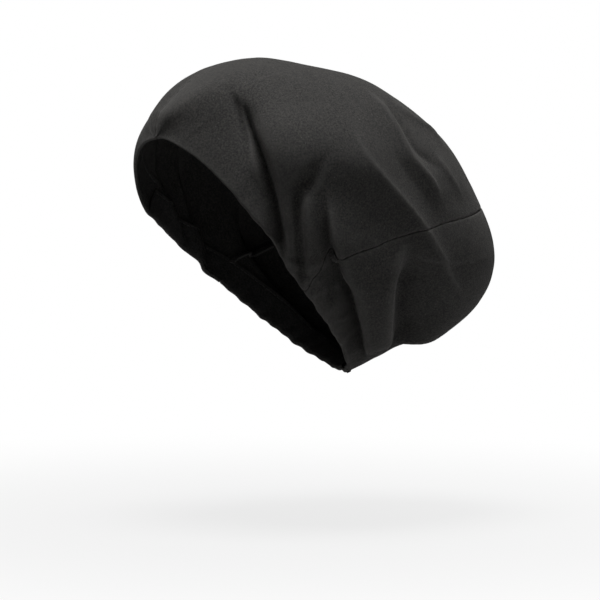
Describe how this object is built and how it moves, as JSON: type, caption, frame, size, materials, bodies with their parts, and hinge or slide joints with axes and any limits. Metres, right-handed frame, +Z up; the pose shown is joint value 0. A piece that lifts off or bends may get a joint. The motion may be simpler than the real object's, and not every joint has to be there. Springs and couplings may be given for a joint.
{
  "type": "chef hat",
  "caption": "Soft black slouch chef's toque, a bag-shaped cloth cap with a centre seam, a gathered lower back panel and an elasticated nape",
  "frame": {"origin": "centre of the head opening, half way between the front hem and the nape hem", "axes": "the wearer faces -Y, the slouch hangs towards +Y, the wearer's left is +X and up is +Z; the opening leans so that it faces forwards and down"},
  "size_m": [0.1657, 0.2337, 0.2052],
  "materials": {
    "cloth": "matte black twill",
    "elastic": "ribbed black knitted elastic",
    "overlock": "black overlock stitching over raw cloth edges"
  },
  "bodies": {
    "root": {"crown_left": "cloth", "crown_right": "cloth", "back_panel": "cloth", "front_facing": "cloth", "nape_casing": "cloth", "elastic_band": "elastic", "centre_seam": "overlock", "back_seam": "overlock"}
  },
  "joints": []
}
